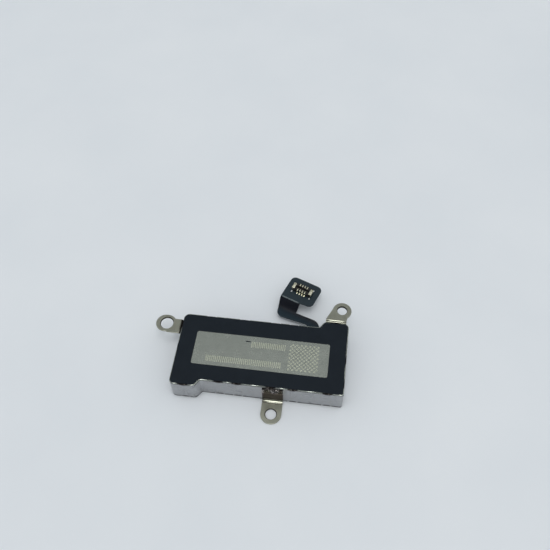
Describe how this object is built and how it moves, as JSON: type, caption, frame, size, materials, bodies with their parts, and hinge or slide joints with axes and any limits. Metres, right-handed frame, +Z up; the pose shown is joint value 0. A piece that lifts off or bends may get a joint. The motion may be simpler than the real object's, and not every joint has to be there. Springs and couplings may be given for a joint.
{
  "type": "linear vibration motor",
  "caption": "Flat sealed linear vibration motor with a sprung magnet mass, bent fixing tabs and a short flex tail that ends in a board-to-board connector.",
  "frame": {"origin": "centre of the case's flat bottom face", "axes": "+X along the case and the travel of the mass, away from the left tab; +Y towards the side where the flex tail leaves; +Z up from the bottom face to the film"},
  "size_m": [0.0285, 0.0238, 0.0041],
  "materials": {
    "case_steel": "satin stainless sheet",
    "cover_steel": "fine brushed stainless sheet",
    "black_film": "semi-matte black polyester film",
    "weld_metal": "heat-tinted weld bead",
    "tab_steel": "rolled stainless strip",
    "amber_flex": "amber polyimide circuit",
    "copper_wire": "enamelled copper winding",
    "clamp_steel": "stainless plate",
    "bumper_rubber": "matte damping rubber",
    "spring_steel": "polished spring strip",
    "carrier_steel": "stainless frame",
    "magnet_plate": "nickel plating",
    "heavy_metal": "sintered tungsten alloy",
    "black_flex": "black coverlay on polyimide",
    "stiffener_steel": "dark stiffener plate",
    "connector_plastic": "dark moulded polymer",
    "gold_plate": "gold plating",
    "solder": "bright solder"
  },
  "bodies": {
    "case": {"side_frame": "case_steel", "top_cover": "cover_steel", "bottom_cover": "cover_steel", "cover_film": "black_film", "top_welds": "weld_metal", "bottom_welds": "weld_metal", "tab_front": "tab_steel", "tab_back": "tab_steel", "tab_left": "tab_steel", "main_flex": "amber_flex", "upper_flex": "amber_flex", "coil_lower_left": "copper_wire", "coil_lower_right": "copper_wire", "coil_upper_left": "copper_wire", "coil_upper_right": "copper_wire", "anchor_left": "clamp_steel", "anchor_right": "clamp_steel", "bumper_left": "bumper_rubber", "bumper_right": "bumper_rubber", "spring_left": "spring_steel", "spring_right": "spring_steel"},
    "moving_mass": {"carrier_frame": "carrier_steel", "magnet_left": "magnet_plate", "magnet_center": "magnet_plate", "magnet_right": "magnet_plate", "weight_left": "heavy_metal", "weight_right": "heavy_metal", "spring_foot_left": "clamp_steel", "spring_foot_right": "clamp_steel"},
    "tail": {"flex_tail": "black_flex", "connector_stiffener": "stiffener_steel", "connector_housing": "connector_plastic", "signal_contacts": "gold_plate", "hold_downs": "gold_plate", "solder_pads": "solder"}
  },
  "joints": [
    {"name": "mass_travel", "type": "slide", "parent": "case", "child": "moving_mass", "axis": [1, 0, 0], "range_m": [-0.0007, 0.0007], "stiffness_N_per_m": 1500, "deforming": ["spring_left", "spring_right"]},
    {"name": "tail_bend", "type": "hinge", "parent": "case", "child": "tail", "pos_m": [0.00666, 0.00526, 0.00036], "axis": [1, 0, 0], "range_deg": [-6, 40], "stiffness_Nm_per_rad": 0.0002}
  ]
}
